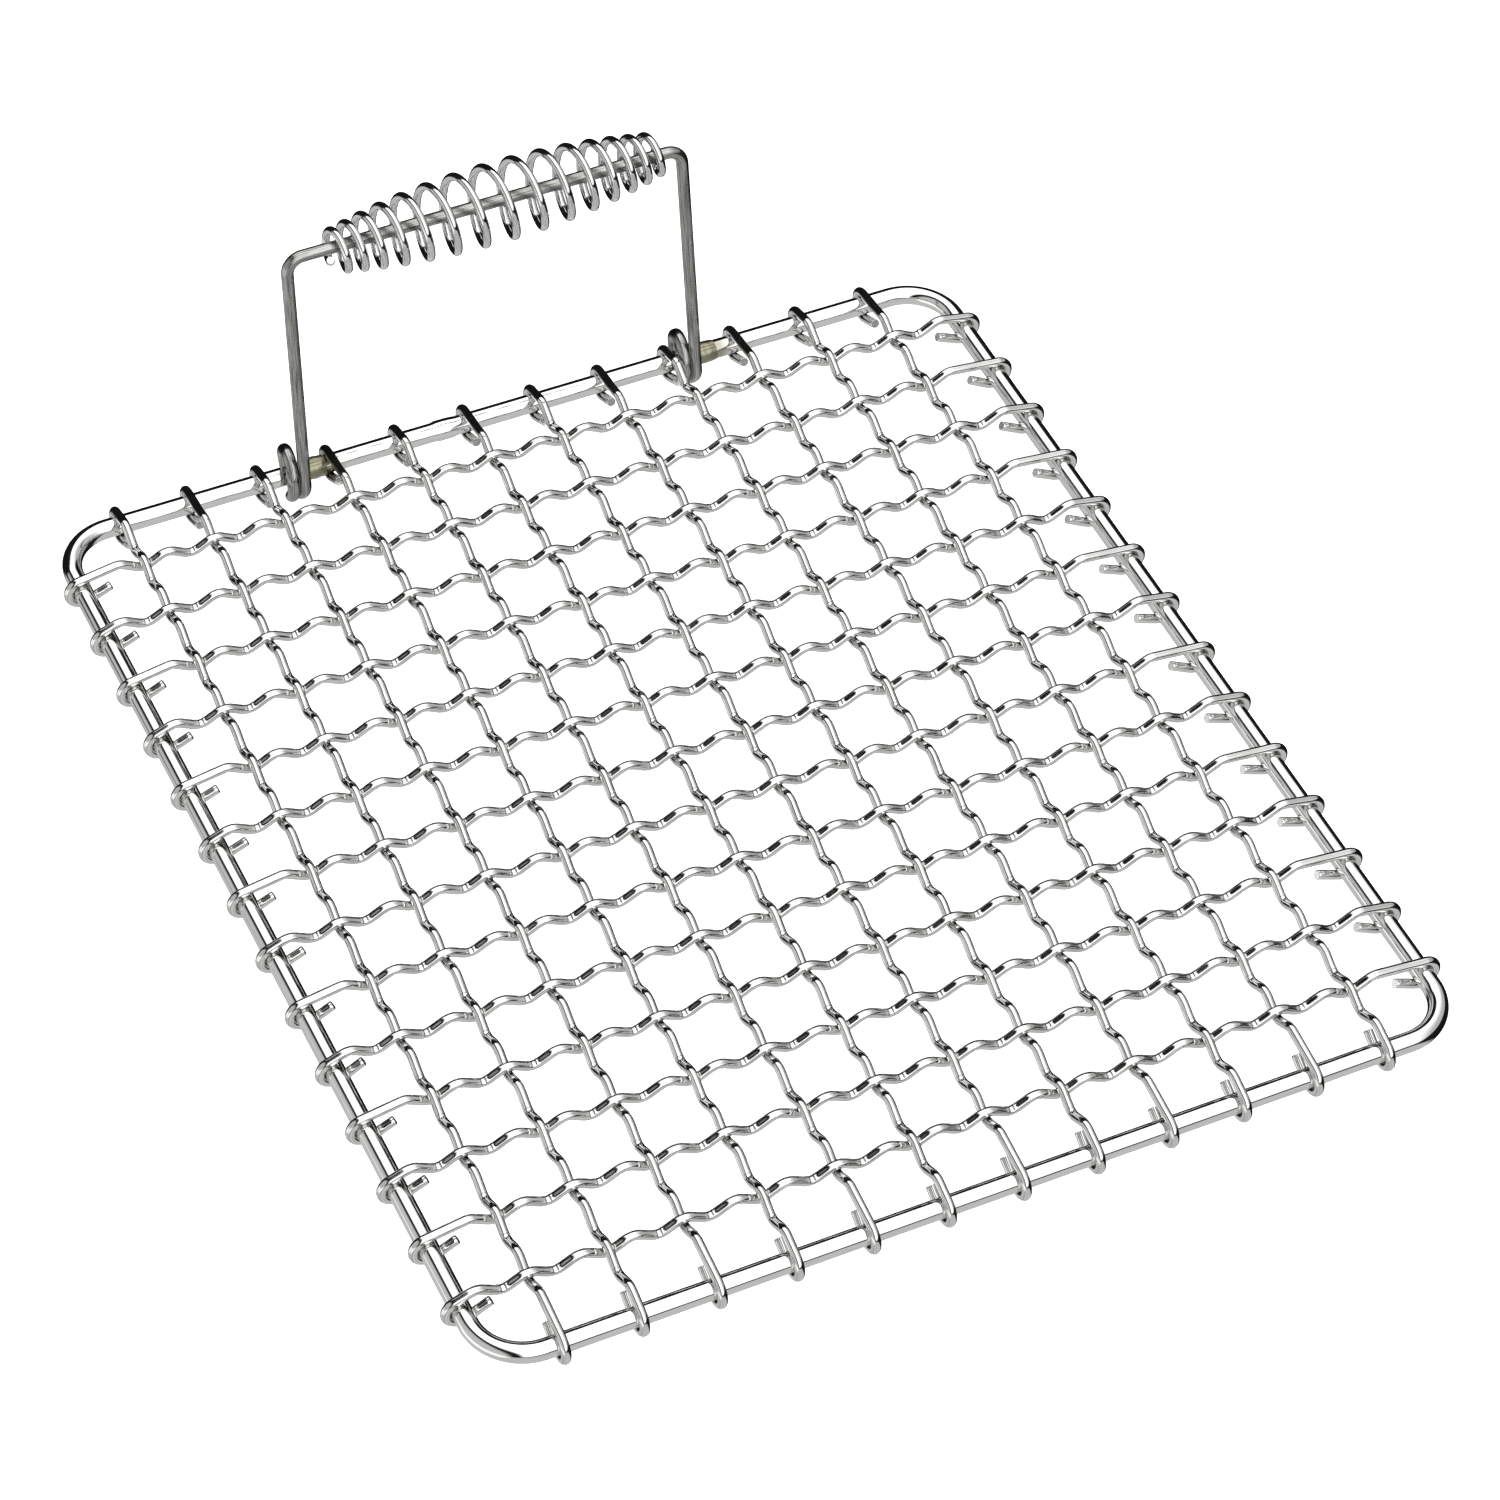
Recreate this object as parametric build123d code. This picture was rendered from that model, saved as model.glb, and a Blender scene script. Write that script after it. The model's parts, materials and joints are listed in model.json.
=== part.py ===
from build123d import *
import math
import os

# A crimped-wire grill net, woven over and under and hooked round a rod rim, with a wire handle that
# folds on the rim and carries a barrel-shaped coil of wire as its grip.
# The origin is midway between the rods of the rim, on the surface that the net lies on. +X runs along
# the handle, +Y points from the net to the handle and +Z is up. Every size is in millimetres.

# The rim is a rod bent into a rounded rectangle, and its sizes run between the middles of its rods.
RIM_WIDTH = 207.0
RIM_LENGTH = 234.8
RIM_ROD = 4.2
RIM_CORNER_RADIUS = 11.0
BUTT_WELD_X = -15.0
BUTT_WELD_LENGTH = 5.0
BUTT_WELD_RISE = 0.3

# The net's wires are crimped to lock into each other. The edges run from the rim to the nearest wire.
# A crimp fill of 1 would leave nothing straight between the arcs of the crimps.
NET_WIRE = 2.0
LONG_WIRES = 12
CROSS_WIRES = 14
EDGE_LEFT = 13.8
EDGE_RIGHT = 17.2
EDGE_FRONT = 14.6
EDGE_BACK = 15.5
BENDS_PER_MESH = 3
CRIMP_FILL = 0.86
WEAVE_GAP = 0.01

# Each wire ends in a hook that wraps the rim and turns back up on the inside.
HOOK_GAP = 0.02
HOOK_TURN = 208.0
HOOK_CORNERS = 4
HOOK_TAIL = 5.6

# The handle is one rod with an eye at each end. Its legs come closer together towards the cross bar.
# Each eye sits beside one wire of the net, counted from the left, its turns lie side by side, and it is
# taller than wide by its rise. A negative lean would tip the handle over the net.
HANDLE_ROD = 2.7
HANDLE_HEIGHT = 59.0
HANDLE_CORNER_RADIUS = 3.6
LEFT_LEG_TAPER = 0.3
RIGHT_LEG_TAPER = 2.2
HANDLE_LEAN = 6.5
LEFT_EYE_WIRE = 4
RIGHT_EYE_WIRE = 9
EYE_GAP = 1.1
EYE_RISE = 1.4
EYE_TURN_GAP = 0.1
EYE_SIDE_GAP = 0.3
EYE_TURN = 420.0
EYE_CORNERS_PER_TURN = 8

# A bead of weld on the rim stands on the right of each eye and stops it from sliding.
STOP_WELD_LENGTH = 4.4
STOP_WELD_RISE = 0.45

# The grip is one wire wound into a barrel, closer at its ends, with both ends closed in on the handle.
# Between them its loops hang a little off the cross bar, down at the left and up at the right.
GRIP_WIRE = 1.8
GRIP_TURNS = 15.4
GRIP_MIDDLE_DIAMETER = 17.6
GRIP_END_DIAMETER = 10.1
GRIP_BARREL_POWER = 1.35
GRIP_SPREAD = 0.35
GRIP_CLOSING_TURNS = 0.6
GRIP_BORE_GAP = 0.2
GRIP_LEFT_SAG = 1.0
GRIP_RIGHT_SAG = -0.4
GRIP_LEFT_PLAY = 4.6
GRIP_RIGHT_PLAY = 0.3
GRIP_START_ANGLE = -133.0
GRIP_CORNERS_PER_TURN = 9

# A bend made of several corners keeps a short straight between them.
BEND_FILL = 0.96

rim_r = RIM_ROD / 2
wire_r = NET_WIRE / 2
handle_r = HANDLE_ROD / 2
grip_r = GRIP_WIRE / 2
eye_r = rim_r + EYE_GAP + handle_r
hook_r = rim_r + HOOK_GAP + wire_r

rim_z = eye_r + handle_r
net_z = rim_z + hook_r
left_x, right_x = -RIM_WIDTH / 2, RIM_WIDTH / 2
front_y, back_y = -RIM_LENGTH / 2, RIM_LENGTH / 2

mesh_x = (RIM_WIDTH - EDGE_LEFT - EDGE_RIGHT) / (LONG_WIRES - 1)
mesh_y = (RIM_LENGTH - EDGE_FRONT - EDGE_BACK) / (CROSS_WIRES - 1)
long_xs = [left_x + EDGE_LEFT + i * mesh_x for i in range(LONG_WIRES)]
cross_ys = [back_y - EDGE_BACK - j * mesh_y for j in range(CROSS_WIRES)]

eye_step = HANDLE_ROD + EYE_TURN_GAP
eye_half_height = eye_r + EYE_RISE / 2
left_weld_x = long_xs[LEFT_EYE_WIRE - 1] - wire_r - STOP_WELD_LENGTH / 2
left_leg_x = left_weld_x - STOP_WELD_LENGTH / 2 - EYE_SIDE_GAP - handle_r
right_leg_x = long_xs[RIGHT_EYE_WIRE - 1] + wire_r + EYE_SIDE_GAP + handle_r + eye_step
right_weld_x = right_leg_x + handle_r + EYE_SIDE_GAP + STOP_WELD_LENGTH / 2
left_top_x = left_leg_x + LEFT_LEG_TAPER
right_top_x = right_leg_x - RIGHT_LEG_TAPER


def rod_along(path, diameter):
    """A round rod whose middle follows the path."""
    section = Plane(origin=path @ 0, z_dir=path % 0) * Circle(diameter / 2)
    return sweep(section, path=path)


def crimp_radius(mesh):
    """Radius of the crimp's bends, which lift the wire by its own radius above and below the net."""
    half = mesh / BENDS_PER_MESH / 2
    lift = wire_r + WEAVE_GAP
    return CRIMP_FILL * (half ** 2 + lift ** 2) / (2 * lift)


def crimp_peak(mesh):
    """Height of the crimp's sharp corners, before they are rounded."""
    half = mesh / BENDS_PER_MESH / 2
    drop = crimp_radius(mesh) - wire_r - WEAVE_GAP
    slope = math.asin(crimp_radius(mesh) / math.hypot(half, drop)) - math.atan2(drop, half)
    return half * math.tan(slope)


def crimps(first, mesh, crossings, starts_high):
    """Corners along a net wire, as (distance, height). It passes the first crossing high or low,
    and goes on past the first and the last crossing to the next high corner."""
    step = mesh / BENDS_PER_MESH
    peak = crimp_peak(mesh)
    last = (crossings - 1) * BENDS_PER_MESH
    ends_high = starts_high == (last % 2 == 0)
    before = 2 if starts_high else 1
    after = 2 if ends_high else 1
    corners = []
    for k in range(-before, last + after + 1):
        high = starts_high == (k % 2 == 0)
        corners.append((first + k * step, peak if high else -peak))
    return corners


def hook(last_corner, rod, outward):
    """Corners of the hook round one rod of the rim, outward being +1 or -1 along the wire."""
    reach = (rod - last_corner[0]) * outward
    drop = -hook_r - last_corner[1]
    heading = math.atan2(drop, reach) + math.asin(hook_r / math.hypot(reach, drop))
    final = -math.radians(HOOK_TURN)
    step = (final - heading) / HOOK_CORNERS
    corner_r = hook_r / math.cos(step / 2)
    corners = []
    for k in range(HOOK_CORNERS):
        angle = heading + (k + 0.5) * step + math.pi / 2
        corners.append((corner_r * math.cos(angle), corner_r * math.sin(angle)))
    tail_u = -hook_r * math.sin(final) + HOOK_TAIL * math.cos(final)
    tail_v = hook_r * math.cos(final) + HOOK_TAIL * math.sin(final)
    corners.append((tail_u, tail_v))
    return [(rod + outward * u, v - hook_r) for u, v in corners]


def net_wire(first, mesh, crossings, starts_high, low_rod, high_rod, along_y):
    """One wire of the net, crimped, with a hook at each end, running along Y or along X."""
    middle = crimps(first, mesh, crossings, starts_high)
    low_hook = hook(middle[0], low_rod, -1)
    high_hook = hook(middle[-1], high_rod, 1)
    outline = low_hook[::-1] + middle + high_hook
    hook_radii = [hook_r * BEND_FILL] * HOOK_CORNERS
    radii = hook_radii + [crimp_radius(mesh)] * len(middle) + hook_radii
    if along_y:
        points = [(0, s, net_z + v) for s, v in outline]
    else:
        points = [(s, 0, net_z + v) for s, v in outline]
    return rod_along(FilletPolyline(*points, radius=radii), NET_WIRE)


def long_wires():
    """The wires that run to the handle, counted from the left. Neighbours are woven opposite ways."""
    weaves = [
        net_wire(cross_ys[-1], mesh_y, CROSS_WIRES, starts_high, front_y, back_y, True)
        for starts_high in (CROSS_WIRES % 2 == 1, CROSS_WIRES % 2 == 0)
    ]
    return [Location((x, 0, 0)) * weaves[i % 2] for i, x in enumerate(long_xs)]


def cross_wires():
    """The wires that run side to side, counted from the handle, under where the long ones are over."""
    weaves = [
        net_wire(long_xs[0], mesh_x, LONG_WIRES, starts_high, left_x, right_x, False)
        for starts_high in (False, True)
    ]
    return [Location((0, y, 0)) * weaves[j % 2] for j, y in enumerate(cross_ys)]


def swelling(x, length, rise):
    """A swelling of the back rod of the rim, flat on its crest at x and tapered on both sides."""
    half = length / 2
    foot = [(-half, 0), (-half, rim_r)]
    crest = [(-half / 2, rim_r + rise), (half / 2, rim_r + rise)]
    profile = make_face(Polyline(*foot, *crest, (half, rim_r), (half, 0), close=True))
    return Location((x, back_y, rim_z)) * revolve(profile, Axis.X)


def stop_weld(x):
    """A bead of weld that rings the back rod of the rim."""
    rod = Location((x, back_y, rim_z), (0, 90, 0)) * Cylinder(rim_r, 2 * STOP_WELD_LENGTH)
    return swelling(x, STOP_WELD_LENGTH, STOP_WELD_RISE) - rod


def rim():
    """The rim, closed by a butt weld in the middle of its back rod."""
    middle = RectangleRounded(RIM_WIDTH, RIM_LENGTH, RIM_CORNER_RADIUS).face().outer_wire()
    ring = rod_along(Location((0, 0, rim_z)) * middle, RIM_ROD)
    return ring + swelling(BUTT_WELD_X, BUTT_WELD_LENGTH, BUTT_WELD_RISE)


def eye_corners(leg_x):
    """Corners of an eye, from the foot of the leg, under the rod, up behind it, over and down again.
    The leg comes down in front of the rod, and the turns move to the left of it."""
    count = round(EYE_CORNERS_PER_TURN * EYE_TURN / 360)
    step = math.radians(EYE_TURN) / count
    corner_r = eye_r / math.cos(step / 2)
    turns = [((k + 0.5) * step, corner_r) for k in range(count)]
    turns.append((math.radians(EYE_TURN), eye_r))
    corners = []
    for angle, r in turns:
        side = leg_x - eye_step * min(1, angle / (2 * math.pi))
        up = EYE_RISE / 2 - r * math.sin(angle) * eye_half_height / eye_r
        corners.append((side, -r * math.cos(angle), up))
    return corners


def leaning(shape):
    """Moves a shape from the handle's own axes, with the rod at their origin, to its resting place."""
    return Location((0, back_y, rim_z), (-HANDLE_LEAN, 0, 0)) * shape


def handle():
    """The handle, bent from one rod, with its cross bar HANDLE_HEIGHT from the rod it turns on."""
    left_eye = eye_corners(left_leg_x)
    right_eye = eye_corners(right_leg_x)
    top = [(left_top_x, -eye_r, HANDLE_HEIGHT), (right_top_x, -eye_r, HANDLE_HEIGHT)]
    points = left_eye[::-1] + top + right_eye
    eye_radii = [BEND_FILL * eye_r ** 2 / eye_half_height] * (len(left_eye) - 1)
    radii = eye_radii + [HANDLE_CORNER_RADIUS] * 2 + eye_radii
    return leaning(rod_along(FilletPolyline(*points, radius=radii), HANDLE_ROD))


def grip_opening(part):
    """How far the grip has opened out from the cross bar, from part 0 at its left end to 1 at its
    right end."""
    turns_from_end = GRIP_TURNS * min(part, 1 - part)
    return math.sin(math.pi / 2 * min(1, turns_from_end / GRIP_CLOSING_TURNS))


def grip_radius(part):
    """Radius of the path of the grip's wire."""
    end_r = GRIP_END_DIAMETER / 2 - grip_r
    middle_r = GRIP_MIDDLE_DIAMETER / 2 - grip_r
    barrel_r = end_r + (middle_r - end_r) * math.sin(math.pi * part) ** GRIP_BARREL_POWER
    closed_r = handle_r + GRIP_BORE_GAP + grip_r
    return closed_r + (barrel_r - closed_r) * grip_opening(part)


def grip():
    """The grip's coil, wound round the handle's cross bar between its two bends."""
    start_x = left_top_x + HANDLE_CORNER_RADIUS + GRIP_LEFT_PLAY + grip_r
    end_x = right_top_x - HANDLE_CORNER_RADIUS - GRIP_RIGHT_PLAY - grip_r
    count = round(GRIP_TURNS * GRIP_CORNERS_PER_TURN)
    step = 2 * math.pi * GRIP_TURNS / count
    points = []
    radii = []
    for k in range(count + 1):
        part = k / count
        along = part - GRIP_SPREAD * math.sin(2 * math.pi * part) / (2 * math.pi)
        angle = math.radians(GRIP_START_ANGLE) + k * step
        wire_path_r = grip_radius(part)
        corner_r = wire_path_r / math.cos(step / 2)
        x = start_x + (end_x - start_x) * along
        y = corner_r * math.cos(angle) - eye_r
        sag = GRIP_LEFT_SAG + (GRIP_RIGHT_SAG - GRIP_LEFT_SAG) * part
        z = corner_r * math.sin(angle) + HANDLE_HEIGHT - sag * grip_opening(part)
        points.append((x, y, z))
        radii.append(wire_path_r * BEND_FILL * BEND_FILL)
    return leaning(rod_along(FilletPolyline(*points, radius=radii[1:-1]), GRIP_WIRE))


def save(shape, node):
    """Writes one sub-part under its own name."""
    shape.label = node
    export_step(shape, f"parts/{node}.step")


os.makedirs("parts", exist_ok=True)
save(rim(), "frame_ring")
for number, wire in enumerate(long_wires(), start=1):
    save(wire, f"long_wire_{number:02d}")
for number, wire in enumerate(cross_wires(), start=1):
    save(wire, f"cross_wire_{number:02d}")
save(stop_weld(left_weld_x), "stop_weld_left")
save(stop_weld(right_weld_x), "stop_weld_right")
save(handle(), "handle_bail")
save(grip(), "grip_coil")
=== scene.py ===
import bpy
import json
import math
import random
from mathutils import Matrix, Vector, noise


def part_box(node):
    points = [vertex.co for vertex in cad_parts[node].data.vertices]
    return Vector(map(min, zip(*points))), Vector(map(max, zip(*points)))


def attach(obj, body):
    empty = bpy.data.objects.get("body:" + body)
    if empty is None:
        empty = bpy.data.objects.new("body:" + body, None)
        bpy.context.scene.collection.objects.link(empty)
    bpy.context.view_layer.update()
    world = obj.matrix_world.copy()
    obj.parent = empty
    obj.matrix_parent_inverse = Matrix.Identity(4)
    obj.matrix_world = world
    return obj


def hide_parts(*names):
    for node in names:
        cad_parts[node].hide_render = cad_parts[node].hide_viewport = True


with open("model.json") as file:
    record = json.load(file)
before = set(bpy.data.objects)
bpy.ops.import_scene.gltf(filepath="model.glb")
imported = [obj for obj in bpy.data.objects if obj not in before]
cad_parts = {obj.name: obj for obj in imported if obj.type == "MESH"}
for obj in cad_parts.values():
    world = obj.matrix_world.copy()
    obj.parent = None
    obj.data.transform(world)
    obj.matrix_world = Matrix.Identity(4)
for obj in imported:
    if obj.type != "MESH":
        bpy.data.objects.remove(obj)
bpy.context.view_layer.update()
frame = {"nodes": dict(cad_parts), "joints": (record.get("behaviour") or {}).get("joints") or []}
dice = random.Random(7)

# Sizes are in metres, in the frame's own axes: +X along the handle, +Y from the net to the handle.
RIM_ROD = 0.0042
RIM_CORNER_RADIUS = 0.011
NET_WIRE = 0.0020
HANDLE_ROD = 0.0027
HANDLE_CORNER_RADIUS = 0.0036
GRIP_WIRE = 0.0018

# The crimp and the hooks of a net wire.
BENDS_PER_MESH = 3
CRIMP_FILL = 0.86
CRIMP_LIFT = 0.00101
HOOK_GAP = 0.00002
HOOK_TURN = 208.0
HOOK_CORNERS = 4
HOOK_TAIL = 0.0056
HOOK_TURN_SPREAD = (-5, 3)
HOOK_TAIL_SPREAD = (-0.0005, 0.0)
BEND_FILL = 0.96

# The marks that the crimping die leaves in the hollow side of each bend.
DIE_MARK_DEPTH = 0.00022
DIE_MARK_HALF_LENGTH = 0.00062
DIE_MARK_EDGE = 0.00016
DIE_MARK_SPREAD = (0.6, 1.0)
DIE_MARK_ROUNDING = 1.5
# Painted shade: the near-black colour laid on both ends of each pressed flat.
DIE_FLAT_EDGE_SHADE_COLOUR = (0.05, 0.05, 0.05, 1)

# The eyes of the handle.
EYE_GAP = 0.0011
EYE_RISE = 0.0014
LEFT_LEG_TAPER = 0.0003
EYE_TURN_GAP = 0.0001
EYE_TURN = 420.0
EYE_CORNERS_PER_TURN = 8

# The barrel of the grip.
GRIP_TURNS = 15.4
GRIP_MIDDLE_DIAMETER = 0.0176
GRIP_END_DIAMETER = 0.0101
GRIP_BARREL_POWER = 1.35
GRIP_SPREAD = 0.35
GRIP_CLOSING_TURNS = 0.6
GRIP_BORE_GAP = 0.0002
GRIP_PLAY = 0.0003
GRIP_LEFT_SAG = 0.0010
GRIP_RIGHT_SAG = -0.0004
GRIP_START_ANGLE = -133.0

# The butt weld of the rim.
BUTT_WELD_X = -0.015
BUTT_WELD_LENGTH = 0.005

# The surface of the welds: how full a lump is, how uneven, and how fine its grain is along the rod.
LUMP_FULLNESS = 0.75
LUMP_UNEVEN = 0.35
LUMP_GRAIN = 900
BEAD_EDGE = 0.985

# The unevenness of the handle's rod, and how fine it is along the rod and round it.
ROD_UNEVEN = 0.012
ROD_GRAIN = 160
ROD_GRAIN_ROUND = 1.3

# The end of every rod, as a share of its radius.
END_CHAMFER = 0.14

# The steel's streaks and patches, and the heat tint beside the welds.
STREAK_SCALE = (130, 7, 7)
STREAK_SPAN = (0.34, 0.56)
PATCH_SCALE = 260.0
PATCH_SPAN = (0.3, 0.7)
TINT_NEAR = (0.17, 0.165, 0.10, 1)
TINT_FAR = (0.50, 0.49, 0.41, 1)
TINT_FADE = (0.55, 1.0, 0.9, 0.0)

# The camera, about a point near the middle of the net.
CAMERA_AZIMUTH = -26.722
CAMERA_ELEVATION = 47.2345
CAMERA_ROLL = 2.438
CAMERA_DISTANCE = 1.0856
CAMERA_AIM = (0.00662, 0.00276)
CAMERA_LENS = 127.27

# The stage's pale paper.
PAPER_GLOW = 0.8
STAGE_RADIUS = 3.0
WALL_HEIGHT = 4.0
WALL_SIDES = 48

# The brightness of the light tent, of the gap round its foot and of the table in the steel.
TENT_LIGHT = 1.9
GAP_LIGHT = 0.01
TABLE_LIGHT = 0.62

# How the light changes with direction: the start and end of each change, then the value before
# it and the value after it.
BACK_RISE = (0.42, 0.84, 0.0, -0.72)
LEFT_DROP = (-0.75, -0.55, 0.5, 0.0)
TENT_FOOT = (0.10, 0.20, 0.0, TENT_LIGHT)
RIGHT_SHADE = (0.3, 0.75, 1.0, 0.3)
CARD_RIGHT_EDGE = (-0.44, -0.30, 0.0, 1.0)
CARD_LEFT_EDGE = (-0.72, -0.58, 0.33, 0.0)
TABLE_EDGE = (-0.45, -0.25, TABLE_LIGHT, 0.0)
HORIZON = (-0.04, 0.0, 1.0, 0.0)

# How much the foot of the tent and the edge of the table lean from side to side and to the back.
TENT_LEAN_X = -0.15
TABLE_LEAN_X = 0.9
TABLE_LEAN_Y = 0.8

rim_r = RIM_ROD / 2
wire_r = NET_WIRE / 2
handle_r = HANDLE_ROD / 2
grip_r = GRIP_WIRE / 2
hook_r = rim_r + HOOK_GAP + wire_r
eye_r = rim_r + EYE_GAP + handle_r


# Where the frame has its pieces.

def middle(node):
    """The middle of a node's box."""
    low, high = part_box(node)
    return (low + high) / 2


def joint_place(name):
    """A joint's position."""
    return Vector(next(j["pos_m"] for j in frame["joints"] if j["name"] == name))


long_nodes = sorted(n for n in frame["nodes"] if n.startswith("long_wire"))
cross_nodes = sorted(n for n in frame["nodes"] if n.startswith("cross_wire"))
long_xs = [middle(n).x for n in long_nodes]
cross_ys = [middle(n).y for n in cross_nodes]
mesh_x = (long_xs[-1] - long_xs[0]) / (len(long_xs) - 1)
mesh_y = (cross_ys[0] - cross_ys[-1]) / (len(cross_ys) - 1)

rim_low, rim_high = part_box("frame_ring")
left_x, right_x = rim_low.x + rim_r, rim_high.x - rim_r
front_y = rim_low.y + rim_r
hinge = joint_place("handle_fold")
back_y, rim_z = hinge.y, hinge.z
net_z = rim_z + hook_r

handle_low, handle_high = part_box("handle_bail")
eye_step = HANDLE_ROD + EYE_TURN_GAP
left_leg_x = handle_low.x + handle_r + eye_step
right_leg_x = handle_high.x - handle_r
eye_half_height = eye_r + EYE_RISE / 2
grip_axis = joint_place("grip_spin")
grip_low, grip_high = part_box("grip_coil")
left_top_x = left_leg_x + LEFT_LEG_TAPER
right_top_x = grip_high.x + GRIP_PLAY + HANDLE_CORNER_RADIUS
reach = math.hypot(grip_axis.y - back_y, grip_axis.z - rim_z)
handle_height = math.sqrt(reach ** 2 - eye_r ** 2)
handle_lean = math.atan2(grip_axis.y - back_y, grip_axis.z - rim_z) + math.atan2(eye_r, handle_height)
handle_place = Matrix.Translation((0, back_y, rim_z)) @ Matrix.Rotation(-handle_lean, 4, "X")


# Rods and wires.

class Path:
    """Points along a bent rod, the distance to each, and the distance to the middle of each bend."""

    def __init__(self):
        self.points = []
        self.bends = []

    def add(self, point, longest=0.0008):
        """Goes straight to the point, in steps no longer than longest."""
        if self.points:
            start = self.points[-1]
            steps = max(1, math.ceil((point - start).length / longest))
            self.points += [start.lerp(point, k / steps) for k in range(1, steps + 1)]
        else:
            self.points.append(point)

    def finish(self):
        """Works out the distances."""
        self.runs = [0.0]
        for before, after in zip(self.points, self.points[1:]):
            self.runs.append(self.runs[-1] + (after - before).length)
        self.bend_runs = [self.runs[k] for k in self.bends]
        return self


def rounded(corners, radii, arc_step=6.0):
    """A path through the corners, each rounded by its own radius."""
    path = Path()
    path.add(corners[0])
    for before, corner, after, radius in zip(corners, corners[1:], corners[2:], radii):
        into = (corner - before).normalized()
        out = (after - corner).normalized()
        turn = into.angle(out)
        side = (out - into * into.dot(out)).normalized()
        start = corner - into * radius * math.tan(turn / 2)
        centre = start + side * radius
        path.add(start)
        steps = 2 * max(1, math.ceil(math.degrees(turn) / arc_step / 2))
        for k in range(1, steps + 1):
            angle = turn * k / steps
            path.points.append(centre + (into * math.sin(angle) - side * math.cos(angle)) * radius)
            if 2 * k == steps:
                path.bends.append(len(path.points) - 1)
    path.add(corners[-1])
    return path.finish()


def frames(path, up, closed):
    """For each point of the path, two directions across it that turn as little as possible."""
    count = len(path.points)
    across = Vector(up)
    result = []
    for k in range(count):
        before = path.points[k - 1] if k or closed else path.points[0]
        after = path.points[(k + 1) % count] if k + 1 < count or closed else path.points[k]
        along = (after - before).normalized()
        across = (across - along * across.dot(along)).normalized()
        result.append((along, across, along.cross(across)))
    return result


def rod_faces(rings, sides, closed):
    """The faces between the rings of a rod."""
    faces = []
    for k in range(rings if closed else rings - 1):
        a = k * sides
        b = ((k + 1) % rings) * sides
        for j in range(sides):
            i = (j + 1) % sides
            faces.append((a + j, a + i, b + i, b + j))
    return faces


def tube(name, path, radius, up=(0, 0, 1), sides=20, closed=False, shape=None):
    """A round rod along the path, square-cut with a small chamfer at its ends. shape, if given,
    turns a point, the distance to it and its direction round the rod into a radius and the
    darkness of the painted shade there."""
    points = [Vector(p) for p in path.points]
    around = [(math.cos(2 * math.pi * k / sides), math.sin(2 * math.pi * k / sides)) for k in range(sides)]
    rings = list(zip(points, path.runs, frames(path, up, closed), [1.0] * len(points)))
    if not closed:
        chamfer = END_CHAMFER * radius
        first, last = rings[0], rings[-1]
        rings[0] = (first[0] + first[2][0] * chamfer, first[1], first[2], 1.0)
        rings[-1] = (last[0] - last[2][0] * chamfer, last[1], last[2], 1.0)
        rings.insert(0, (first[0], first[1], first[2], 1 - END_CHAMFER))
        rings.append((last[0], last[1], last[2], 1 - END_CHAMFER))
    verts = []
    places = []
    # The darkness of the painted shade at each point.
    marks = []
    for point, run, (along, across, beside), scale in rings:
        for c, s in around:
            r, edge_shade = (radius, 0.0) if shape is None else shape(point, run, c, s)
            verts.append(point + (across * c + beside * s) * r * scale)
            places += [run, c, s]
            marks.append(edge_shade)
    faces = rod_faces(len(rings), sides, closed)
    smooth = [True] * len(faces)
    if not closed:
        faces.append(tuple(range(sides))[::-1])
        faces.append(tuple(range(len(verts) - sides, len(verts))))
        smooth += [False, False]
    mesh = bpy.data.meshes.new(name)
    mesh.from_pydata(verts, [], faces)
    mesh.polygons.foreach_set("use_smooth", smooth)
    mesh.attributes.new("wire_place", "FLOAT_VECTOR", "POINT").data.foreach_set("vector", places)
    # The painted shade at the ends of the die flats goes to the material as an attribute.
    mesh.attributes.new("die_flat_edge_shade", "FLOAT", "POINT").data.foreach_set("value", marks)
    mesh.update()
    piece = bpy.data.objects.new(name, mesh)
    bpy.context.scene.collection.objects.link(piece)
    return piece


def settle(piece, material, body, slot, *nodes):
    """Gives a finished piece its material and its place in the frame."""
    piece.data.materials.append(material)
    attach(piece, body)
    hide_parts(*nodes)


# The net's wires.

def crimp_radius(mesh):
    """Radius of the crimp's bends."""
    half = mesh / BENDS_PER_MESH / 2
    return CRIMP_FILL * (half ** 2 + CRIMP_LIFT ** 2) / (2 * CRIMP_LIFT)


def crimp_peak(mesh):
    """Height of the crimp's sharp corners, before they are rounded."""
    half = mesh / BENDS_PER_MESH / 2
    drop = crimp_radius(mesh) - CRIMP_LIFT
    slope = math.asin(crimp_radius(mesh) / math.hypot(half, drop)) - math.atan2(drop, half)
    return half * math.tan(slope)


def crimps(first, mesh, crossings, starts_high):
    """Corners along a net wire, as (distance, height), to the high corner past each end crossing."""
    step = mesh / BENDS_PER_MESH
    peak = crimp_peak(mesh)
    last = (crossings - 1) * BENDS_PER_MESH
    ends_high = starts_high == (last % 2 == 0)
    before = 2 if starts_high else 1
    after = 2 if ends_high else 1
    corners = []
    for k in range(-before, last + after + 1):
        high = starts_high == (k % 2 == 0)
        corners.append((first + k * step, peak if high else -peak))
    return corners


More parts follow.
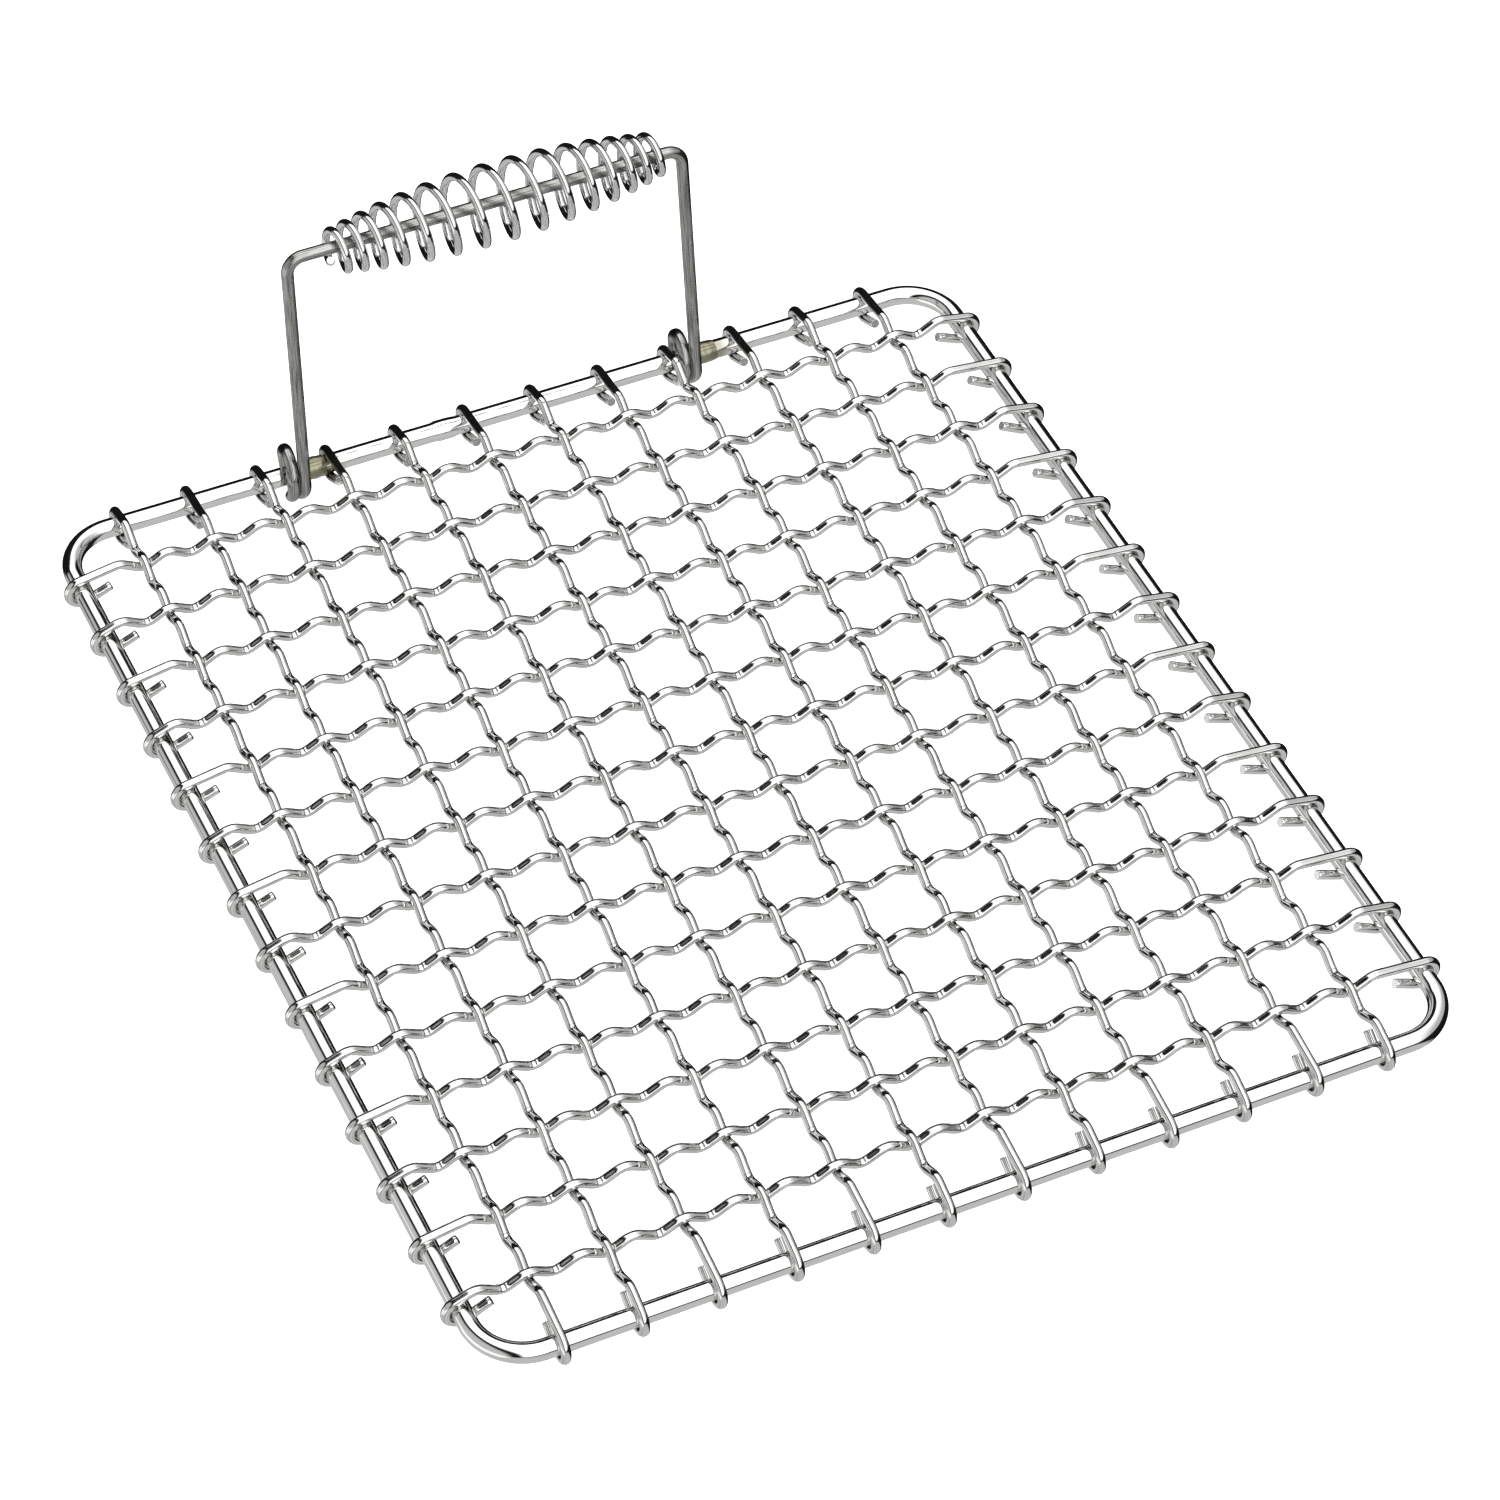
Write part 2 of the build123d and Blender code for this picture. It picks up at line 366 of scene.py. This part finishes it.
def hook(last_corner, rod, outward):
    """Corners of the hook round one rod of the rim. Each hook is bent and cut a little differently."""
    reach = (rod - last_corner[0]) * outward
    drop = -hook_r - last_corner[1]
    heading = math.atan2(drop, reach) + math.asin(hook_r / math.hypot(reach, drop))
    final = -math.radians(HOOK_TURN + dice.uniform(*HOOK_TURN_SPREAD))
    tail = HOOK_TAIL + dice.uniform(*HOOK_TAIL_SPREAD)
    step = (final - heading) / HOOK_CORNERS
    corner_r = hook_r / math.cos(step / 2)
    corners = []
    for k in range(HOOK_CORNERS):
        angle = heading + (k + 0.5) * step + math.pi / 2
        corners.append((corner_r * math.cos(angle), corner_r * math.sin(angle)))
    tail_u = -hook_r * math.sin(final) + tail * math.cos(final)
    tail_v = hook_r * math.cos(final) + tail * math.sin(final)
    corners.append((tail_u, tail_v))
    return [(rod + outward * u, v - hook_r) for u, v in corners]


def die_marks(path, hooks):
    """The shape of a crimped wire: round, with a short pressed flat in the hollow of each crimp, and
    painted shade at both ends of the flat."""
    marks = []
    for k, run in enumerate(path.bend_runs[hooks:-hooks]):
        hollow_side = -1 if k % 2 == 0 else 1
        marks.append((run, hollow_side, dice.uniform(*DIE_MARK_SPREAD) * DIE_MARK_DEPTH))
    spacing = (marks[-1][0] - marks[0][0]) / (len(marks) - 1)

    def radius(point, run, c, s):
        k = round((run - marks[0][0]) / spacing)
        press = 0.0
        flat_edge_shade = 0.0
        for centre, side, depth in marks[max(0, k - 1):k + 2]:
            inside = (DIE_MARK_HALF_LENGTH - abs(run - centre)) / DIE_MARK_EDGE
            press += depth * max(0.0, side * c) ** DIE_MARK_ROUNDING * min(1.0, max(0.0, inside + 0.5))
            # Painted shade, darkest at both ends of the flat on its hollow side.
            flat_edge_shade += depth / DIE_MARK_DEPTH * max(0.0, side * c) * max(0.0, 1 - abs(inside))
        return wire_r - press, flat_edge_shade

    return radius


def net_wire(name, first, mesh, crossings, starts_high, low_rod, high_rod, place):
    """One wire of the net. place turns a distance and a height into a point."""
    crimped = crimps(first, mesh, crossings, starts_high)
    low_hook = hook(crimped[0], low_rod, -1)
    high_hook = hook(crimped[-1], high_rod, 1)
    outline = low_hook[::-1] + crimped + high_hook
    corners = [place(s, v) for s, v in outline]
    hook_radii = [hook_r * BEND_FILL] * HOOK_CORNERS
    path = rounded(corners, hook_radii + [crimp_radius(mesh)] * len(crimped) + hook_radii, arc_step=3.0)
    return tube(name, path, wire_r, up=up_at_start(corners), shape=die_marks(path, HOOK_CORNERS))


def up_at_start(corners):
    """The direction across the first stretch of a wire that becomes straight up along the net."""
    tail = (corners[1] - corners[0]).normalized()
    level = Vector((corners[-1].x - corners[0].x, corners[-1].y - corners[0].y, 0)).normalized()
    side = level.cross(Vector((0, 0, 1)))
    return side.cross(tail)


def build_net(steel, tinted):
    """All the wires of the net, woven opposite ways by turns. The wire whose hook is beside the left
    weld is tinted by it."""
    beside_weld = min(long_nodes, key=lambda n: abs(middle(n).x - left_weld.x))
    for k, (node, x) in enumerate(zip(long_nodes, long_xs)):
        starts_high = (k + len(cross_ys)) % 2 == 1
        piece = net_wire("visual_" + node, cross_ys[-1], mesh_y, len(cross_ys), starts_high, front_y, back_y,
                         lambda s, v: Vector((x, s, net_z + v)))
        settle(piece, tinted if node == beside_weld else steel, "net", "net_steel", node)
    for k, (node, y) in enumerate(zip(cross_nodes, cross_ys)):
        piece = net_wire("visual_" + node, long_xs[0], mesh_x, len(long_xs), k % 2 == 1, left_x, right_x,
                         lambda s, v: Vector((s, y, net_z + v)))
        settle(piece, steel, "net", "net_steel", node)


# The rim and its welds.

def lump(x, centre, half, rise, seed):
    """Height of an uneven swelling of weld at x."""
    part = (x - centre) / half
    if abs(part) >= 1:
        return 0.0
    grain = noise.noise(Vector((x * LUMP_GRAIN, seed, 0)))
    return rise * (1 - part * part) ** 0.5 * (LUMP_FULLNESS + LUMP_UNEVEN * grain)


def build_rim(steel):
    """The rim, one closed rod with a butt weld in its back run."""
    outline = [(0, front_y), (right_x, front_y), (right_x, back_y), (left_x, back_y), (left_x, front_y),
               (0, front_y)]
    corners = [Vector((x, y, rim_z)) for x, y in outline]
    path = rounded(corners, [RIM_CORNER_RADIUS] * 4, arc_step=3.0)
    path.points.pop()
    weld_rise = rim_high.y - back_y - rim_r

    def radius(point, run, c, s):
        if point.y < back_y - rim_r:
            return rim_r, 0.0
        return rim_r + lump(point.x, BUTT_WELD_X, BUTT_WELD_LENGTH / 2, weld_rise, 3 + 2 * c), 0.0

    piece = tube("visual_frame_ring", path, rim_r, sides=40, closed=True, shape=radius)
    settle(piece, steel, "net", "rim_steel", "frame_ring")


def build_stop_weld(node, material, seed):
    """A bead of weld round the back rod."""
    low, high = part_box(node)
    half = (high.x - low.x) / 2
    centre = (high.x + low.x) / 2
    rise = (high.z - low.z) / 2 - rim_r
    path = Path()
    path.add(Vector((low.x, back_y, rim_z)))
    path.add(Vector((high.x, back_y, rim_z)), longest=0.0002)
    path.finish()

    def radius(point, run, c, s):
        return rim_r * BEAD_EDGE + lump(point.x, centre, half, rise, seed + 1.5 * c + s), 0.0

    piece = tube("visual_" + node, path, rim_r, sides=40, shape=radius)
    settle(piece, material, "net", "weld_tint", node)


# The handle and its grip.

def eye_corners(leg_x):
    """Corners of an eye, from the foot of the leg, under the rod, up behind it, over and down again."""
    count = round(EYE_CORNERS_PER_TURN * EYE_TURN / 360)
    step = math.radians(EYE_TURN) / count
    corner_r = eye_r / math.cos(step / 2)
    turns = [((k + 0.5) * step, corner_r) for k in range(count)]
    turns.append((math.radians(EYE_TURN), eye_r))
    corners = []
    for angle, r in turns:
        side = leg_x - eye_step * min(1, angle / (2 * math.pi))
        up = EYE_RISE / 2 - r * math.sin(angle) * eye_half_height / eye_r
        corners.append(Vector((side, -r * math.cos(angle), up)))
    return corners


def build_handle(steel):
    """The handle, bent from one rod."""
    left_eye = eye_corners(left_leg_x)
    right_eye = eye_corners(right_leg_x)
    top = [Vector((x, -eye_r, handle_height)) for x in (left_top_x, right_top_x)]
    corners = [handle_place @ p for p in left_eye[::-1] + top + right_eye]
    eye_radii = [BEND_FILL * eye_r ** 2 / eye_half_height] * (len(left_eye) - 1)
    path = rounded(corners, eye_radii + [HANDLE_CORNER_RADIUS] * 2 + eye_radii, arc_step=5.0)
    piece = tube("visual_handle_bail", path, handle_r, sides=32, shape=hand_bent(handle_r))
    settle(piece, steel, "handle", "handle_steel", "handle_bail")


def hand_bent(radius):
    """A rod's radius with the slight unevenness of drawn and bent wire."""
    def shape(point, run, c, s):
        grain = noise.noise(Vector((run * ROD_GRAIN, c * ROD_GRAIN_ROUND, s * ROD_GRAIN_ROUND)))
        return radius * (1 - ROD_UNEVEN * abs(grain)), 0.0
    return shape


def grip_opening(part):
    """How far the grip has opened out from the bar, from part 0 at its left end to 1 at its right."""
    turns_from_end = GRIP_TURNS * min(part, 1 - part)
    return math.sin(math.pi / 2 * min(1, turns_from_end / GRIP_CLOSING_TURNS))


def grip_radius(part):
    """Radius of the grip's wire path."""
    end_r = GRIP_END_DIAMETER / 2 - grip_r
    middle_r = GRIP_MIDDLE_DIAMETER / 2 - grip_r
    barrel_r = end_r + (middle_r - end_r) * math.sin(math.pi * part) ** GRIP_BARREL_POWER
    closed_r = handle_r + GRIP_BORE_GAP + grip_r
    return closed_r + (barrel_r - closed_r) * grip_opening(part)


def build_grip(steel):
    """The grip's coil round the handle's cross bar."""
    start_x, end_x = grip_low.x + grip_r, grip_high.x - grip_r
    count = round(GRIP_TURNS * 40)
    path = Path()
    for k in range(count + 1):
        part = k / count
        along = part - GRIP_SPREAD * math.sin(2 * math.pi * part) / (2 * math.pi)
        angle = math.radians(GRIP_START_ANGLE + 360 * GRIP_TURNS * part)
        r = grip_radius(part)
        sag = (GRIP_LEFT_SAG + (GRIP_RIGHT_SAG - GRIP_LEFT_SAG) * part) * grip_opening(part)
        point = Vector((start_x + (end_x - start_x) * along,
                        r * math.cos(angle) - eye_r, r * math.sin(angle) + handle_height - sag))
        path.points.append(handle_place @ point)
    path.finish()
    piece = tube("visual_grip_coil", path, grip_r, sides=24)
    settle(piece, steel, "grip", "grip_steel", "grip_coil")


# Materials.

def node_of(nodes, kind, **inputs):
    """A new node with some of its inputs set. An underscore stands for a space in an input's name."""
    node = nodes.new(kind)
    for key, value in inputs.items():
        node.inputs[key.replace("_", " ")].default_value = value
    return node


def light_step(nodes, links, height, low, high, dark, bright):
    """A value that goes from dark to bright as height goes from low to high."""
    ramp = node_of(nodes, "ShaderNodeMapRange", From_Min=low, From_Max=high, To_Min=dark, To_Max=bright)
    links.new(height, ramp.inputs["Value"])
    return ramp.outputs["Result"]


def combine(nodes, links, operation, first, second, third=None):
    """A sum, a product or a share. Each of the terms is an output or a number."""
    node = nodes.new("ShaderNodeMath")
    node.operation = operation
    for socket, term in zip(node.inputs, (first, second, third)):
        if isinstance(term, bpy.types.NodeSocket):
            links.new(term, socket)
        elif term is not None:
            socket.default_value = term
    return node.outputs["Value"]


def streak_noise(nodes, links):
    """Noise drawn out along the wire."""
    place = nodes.new("ShaderNodeAttribute")
    place.attribute_name = "wire_place"
    stretch = nodes.new("ShaderNodeVectorMath")
    stretch.operation = "MULTIPLY"
    stretch.inputs[1].default_value = STREAK_SCALE
    links.new(place.outputs["Vector"], stretch.inputs[0])
    streaks = node_of(nodes, "ShaderNodeTexNoise", Scale=1.0, Detail=4.0)
    links.new(stretch.outputs["Vector"], streaks.inputs["Vector"])
    return streaks.outputs["Fac"]


def patch_noise(nodes, links):
    """Noise in small patches."""
    spot = nodes.new("ShaderNodeTexCoord")
    patches = node_of(nodes, "ShaderNodeTexNoise", Scale=PATCH_SCALE, Detail=3.0)
    links.new(spot.outputs["Object"], patches.inputs["Vector"])
    return patches.outputs["Fac"]


def mixed(nodes, links, share, first, second):
    """A colour that goes from the first to the second with share. second is an output or a colour."""
    mix = nodes.new("ShaderNodeMix")
    mix.data_type = "RGBA"
    links.new(share, mix.inputs["Factor"])
    links.new(first, mix.inputs[6])
    if isinstance(second, bpy.types.NodeSocket):
        links.new(second, mix.inputs[7])
    else:
        mix.inputs[7].default_value = second
    return mix.outputs[2]


def wire_colour(nodes, links, streaks, colour, dark):
    """The steel's colour, darker in its streaks, with painted shade at both ends of each flat pressed by the
    crimping die.
    """
    colours = nodes.new("ShaderNodeValToRGB")
    for element, position, value in zip(colours.color_ramp.elements, STREAK_SPAN, (dark, colour)):
        element.position = position
        element.color = (*value, 1)
    links.new(streaks, colours.inputs["Fac"])
    edge_shade = nodes.new("ShaderNodeAttribute")
    edge_shade.attribute_name = "die_flat_edge_shade"
    return mixed(nodes, links, edge_shade.outputs["Fac"], colours.outputs["Color"], DIE_FLAT_EDGE_SHADE_COLOUR)


def steel(name, colour, dark, roughness, streak, polish):
    """Stainless steel: streaks drawn out along the wire, and small changes of shine. dark is the colour
    in its streaks, streak their depth in metres and polish the change of roughness."""
    material = bpy.data.materials.new(name)
    material.use_nodes = True
    nodes, links = material.node_tree.nodes, material.node_tree.links
    nodes.clear()
    output = nodes.new("ShaderNodeOutputMaterial")
    shader = node_of(nodes, "ShaderNodeBsdfPrincipled", Metallic=1.0)
    links.new(shader.outputs["BSDF"], output.inputs["Surface"])
    streaks = streak_noise(nodes, links)
    links.new(wire_colour(nodes, links, streaks, colour, dark), shader.inputs["Base Color"])
    patches = patch_noise(nodes, links)
    shine = light_step(nodes, links, patches, *PATCH_SPAN, roughness - polish, roughness + polish)
    links.new(shine, shader.inputs["Roughness"])
    bump = node_of(nodes, "ShaderNodeBump", Strength=1.0, Distance=streak)
    links.new(streaks, bump.inputs["Height"])
    links.new(bump.outputs["Normal"], shader.inputs["Normal"])
    return material


def heat_ring(nodes, links, under, position, centre, reach):
    """The colour under it, tinted round the centre out to reach."""
    distance = nodes.new("ShaderNodeVectorMath")
    distance.operation = "DISTANCE"
    distance.inputs[1].default_value = centre
    links.new(position, distance.inputs[0])
    share = combine(nodes, links, "DIVIDE", distance.outputs["Value"], reach)
    tint = nodes.new("ShaderNodeValToRGB")
    tint.color_ramp.elements[0].color = TINT_NEAR
    tint.color_ramp.elements[1].color = TINT_FAR
    links.new(share, tint.inputs["Fac"])
    fade = light_step(nodes, links, share, *TINT_FADE)
    fade.node.interpolation_type = "SMOOTHSTEP"
    return mixed(nodes, links, fade, under, tint.outputs["Color"])


def add_heat_tint(material, spots):
    """Straw and brown heat colours on the steel round each spot, given as (place, reach)."""
    nodes, links = material.node_tree.nodes, material.node_tree.links
    shader = next(n for n in nodes if n.type == "BSDF_PRINCIPLED")
    position = nodes.new("ShaderNodeTexCoord").outputs["Object"]
    for centre, reach in spots:
        under = shader.inputs["Base Color"].links[0].from_socket
        links.new(heat_ring(nodes, links, under, position, centre, reach), shader.inputs["Base Color"])


# The stage.

def stage_paper():
    """Matt pale paper with a glow of its own, so no shadow shows on it."""
    material = bpy.data.materials.new("stage_paper")
    material.use_nodes = True
    shader = material.node_tree.nodes["Principled BSDF"]
    shader.inputs["Base Color"].default_value = (0.9, 0.9, 0.9, 1)
    shader.inputs["Roughness"].default_value = 0.9
    shader.inputs["Emission Color"].default_value = (1, 1, 1, 1)
    shader.inputs["Emission Strength"].default_value = PAPER_GLOW
    return material


def stage_sheet(name, points, faces, paper):
    """A sheet of the stage that the metal does not reflect."""
    mesh = bpy.data.meshes.new(name)
    mesh.from_pydata(points, [], faces)
    mesh.materials.append(paper)
    sheet = bpy.data.objects.new(name, mesh)
    bpy.context.scene.collection.objects.link(sheet)
    sheet.visible_glossy = False
    return sheet


def build_floor(paper):
    """A plain pale floor."""
    half = STAGE_RADIUS
    corners = [(-half, -half, 0), (half, -half, 0), (half, half, 0), (-half, half, 0)]
    stage_sheet("stage_floor", corners, [(0, 1, 2, 3)], paper)


def build_wall(paper):
    """A pale wall round the floor, seen by the camera only."""
    points = []
    for k in range(WALL_SIDES):
        angle = 2 * math.pi * k / WALL_SIDES
        x = STAGE_RADIUS * math.cos(angle)
        y = STAGE_RADIUS * math.sin(angle)
        points += [(x, y, 0), (x, y, WALL_HEIGHT)]
    faces = []
    for k in range(WALL_SIDES):
        low = 2 * k
        next_low = 2 * ((k + 1) % WALL_SIDES)
        faces.append((low, next_low, next_low + 1, low + 1))
    wall = stage_sheet("stage_wall", points, faces, paper)
    wall.visible_diffuse = False
    wall.visible_shadow = False
    wall.visible_transmission = False


def build_light():
    """A light tent over a grey table, with a dark gap between them that is deeper behind the object.
    The tent is greyer at the right, and a dark card stands at its left."""
    world = bpy.data.worlds.new("studio")
    bpy.context.scene.world = world
    world.use_nodes = True
    nodes, links = world.node_tree.nodes, world.node_tree.links
    direction = nodes.new("ShaderNodeTexCoord")
    parts = nodes.new("ShaderNodeSeparateXYZ")
    links.new(direction.outputs["Generated"], parts.inputs["Vector"])
    x, y, z = parts.outputs["X"], parts.outputs["Y"], parts.outputs["Z"]

    above_gap = combine(nodes, links, "ADD", z, light_step(nodes, links, y, *BACK_RISE))
    above_gap = combine(nodes, links, "MULTIPLY_ADD", x, TENT_LEAN_X, above_gap)
    above_gap = combine(nodes, links, "ADD", above_gap, light_step(nodes, links, x, *LEFT_DROP))
    tent = light_step(nodes, links, above_gap, *TENT_FOOT)
    tent = combine(nodes, links, "MULTIPLY", tent, light_step(nodes, links, x, *RIGHT_SHADE))
    beside_card = light_step(nodes, links, x, *CARD_RIGHT_EDGE)
    behind_card = light_step(nodes, links, x, *CARD_LEFT_EDGE)
    past_card = combine(nodes, links, "ADD", beside_card, behind_card)
    tent = combine(nodes, links, "MULTIPLY", tent, past_card)
    below_gap = combine(nodes, links, "MULTIPLY_ADD", y, TABLE_LEAN_Y, z)
    below_gap = combine(nodes, links, "MULTIPLY_ADD", x, TABLE_LEAN_X, below_gap)
    table = light_step(nodes, links, below_gap, *TABLE_EDGE)
    table = combine(nodes, links, "MULTIPLY", table, light_step(nodes, links, z, *HORIZON))
    total = combine(nodes, links, "ADD", tent, table)
    links.new(combine(nodes, links, "ADD", total, GAP_LIGHT), nodes["Background"].inputs["Color"])


def build_camera():
    """The camera, turned about its aim by azimuth, elevation and roll."""
    azimuth, elevation, roll = map(math.radians, (CAMERA_AZIMUTH, CAMERA_ELEVATION, CAMERA_ROLL))
    net_middle = Vector(((long_xs[0] + long_xs[-1]) / 2, (cross_ys[0] + cross_ys[-1]) / 2, net_z))
    aim = net_middle + Vector((*CAMERA_AIM, 0))
    turn = Matrix.Rotation(azimuth, 4, "Z") @ Matrix.Rotation(math.pi / 2 - elevation, 4, "X")
    turn = turn @ Matrix.Rotation(roll, 4, "Z")
    data = bpy.data.cameras.new("camera")
    data.lens = CAMERA_LENS
    data.sensor_width = 36.0
    camera = bpy.data.objects.new("camera", data)
    camera.matrix_world = Matrix.Translation(aim) @ turn @ Matrix.Translation((0, 0, CAMERA_DISTANCE))
    bpy.context.scene.collection.objects.link(camera)
    bpy.context.scene.camera = camera


build_camera()
build_light()
paper = stage_paper()
build_floor(paper)
build_wall(paper)

# Each steel: its colour, the colour in its streaks, roughness, depth of streaks and change of shine.
net_look = ((0.80, 0.80, 0.79), (0.50, 0.50, 0.49), 0.09, 0.000012, 0.04)
bright = steel("bright_steel", *net_look)
rim_steel = steel("rim_steel", (0.80, 0.80, 0.79), (0.72, 0.72, 0.71), 0.07, 0.000003, 0.03)
hook_steel = steel("hook_steel", *net_look)
satin = steel("satin_steel", (0.46, 0.46, 0.44), (0.13, 0.13, 0.125), 0.24, 0.00004, 0.08)
spring = steel("spring_steel", (0.78, 0.78, 0.78), (0.60, 0.60, 0.60), 0.10, 0.000006, 0.04)
weld = steel("weld_steel", (0.33, 0.32, 0.23), (0.14, 0.135, 0.085), 0.35, 0.00005, 0.10)

left_weld = middle("stop_weld_left")
right_weld = middle("stop_weld_right")
add_heat_tint(rim_steel, [(left_weld, 0.0075), (right_weld, 0.0065)])
add_heat_tint(hook_steel, [(left_weld, 0.0075)])

build_net(bright, hook_steel)
build_rim(rim_steel)
build_stop_weld("stop_weld_left", weld, 1.0)
build_stop_weld("stop_weld_right", weld, 5.0)
build_handle(satin)
build_grip(spring)

bpy.context.scene.view_settings.view_transform = "Standard"
